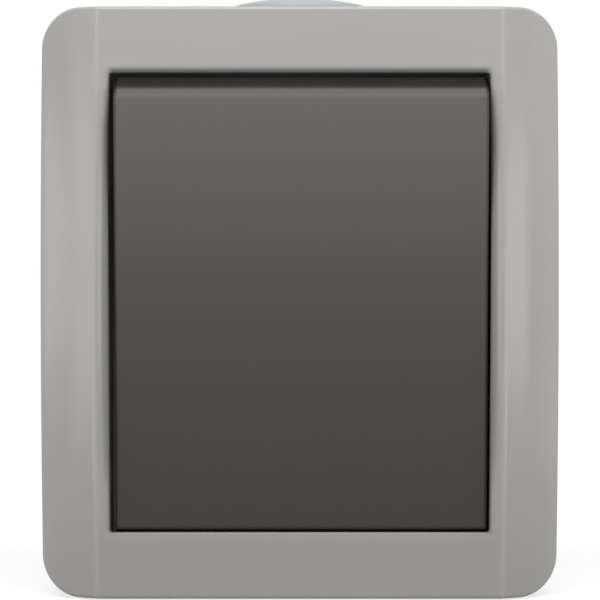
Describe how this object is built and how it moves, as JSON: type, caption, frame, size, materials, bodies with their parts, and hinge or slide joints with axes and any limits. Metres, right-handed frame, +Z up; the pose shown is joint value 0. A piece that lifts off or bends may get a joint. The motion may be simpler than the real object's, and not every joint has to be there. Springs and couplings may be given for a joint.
{
  "type": "two-way switch",
  "caption": "Surface-mounted moisture-proof two-way light switch: a box with a closed cable gland, a winged front cover and one large rocker that works a see-saw changeover contact.",
  "frame": {"origin": "centre of the box's flat back, on the wall", "axes": "+X to the right seen from the front, +Y into the wall, +Z up; the front faces -Y"},
  "size_m": [0.066, 0.0443, 0.0778],
  "materials": {
    "cover_plastic": "smooth gloss moulding, pale warm grey",
    "box_plastic": "fine-grained moulding, pale warm grey",
    "rocker_plastic": "satin anthracite with a very fine grain",
    "gland_rubber": "soft satin, pale blue-grey",
    "seal_rubber": "soft matt black",
    "insert_plastic": "matt cream insulating moulding",
    "toggle_plastic": "matt pale grey slippery moulding",
    "terminal_brass": "stamped and milled brass",
    "contact_silver": "turned silver-faced rivet",
    "plated_steel": "bright zinc-plated steel"
  },
  "bodies": {
    "housing": {"back_box": "box_plastic", "front_cover": "cover_plastic", "box_seal": "seal_rubber", "neck_seal": "seal_rubber", "cable_gland": "gland_rubber", "fixed_contact_one": "contact_silver", "fixed_contact_two": "contact_silver", "common_terminal": "terminal_brass", "terminal_one": "terminal_brass", "terminal_two": "terminal_brass", "insert_base": "insert_plastic", "insert_cover": "insert_plastic", "insert_screw_left": "plated_steel", "insert_screw_right": "plated_steel", "cover_screw_upper": "plated_steel", "cover_screw_lower": "plated_steel"},
    "rocker": {"rocker": "rocker_plastic", "toggle": "toggle_plastic", "plunger_spring": "plated_steel"},
    "plunger": {"plunger": "plated_steel"},
    "lever": {"contact_lever": "terminal_brass", "moving_contact_one": "contact_silver", "moving_contact_two": "contact_silver"}
  },
  "joints": [
    {"name": "rocker_tilt", "type": "hinge", "parent": "housing", "child": "rocker", "pos_m": [0, -0.027, 0], "axis": [-1, 0, 0], "range_deg": [0, 9.2]},
    {"name": "lever_tilt", "type": "hinge", "parent": "housing", "child": "lever", "pos_m": [0, -0.0143, 0], "axis": [1, 0, 0], "range_deg": [0, 10]},
    {"name": "plunger_slide", "type": "slide", "parent": "rocker", "child": "plunger", "axis": [0, -0.9968, -0.0802], "range_m": [0, 0.001], "stiffness_N_per_m": 200, "springref_m": -0.003, "deforming": ["plunger_spring"]}
  ],
  "couplings": [
    {"joint": "lever_tilt", "follows": "rocker_tilt", "ratio": 1.087}
  ]
}
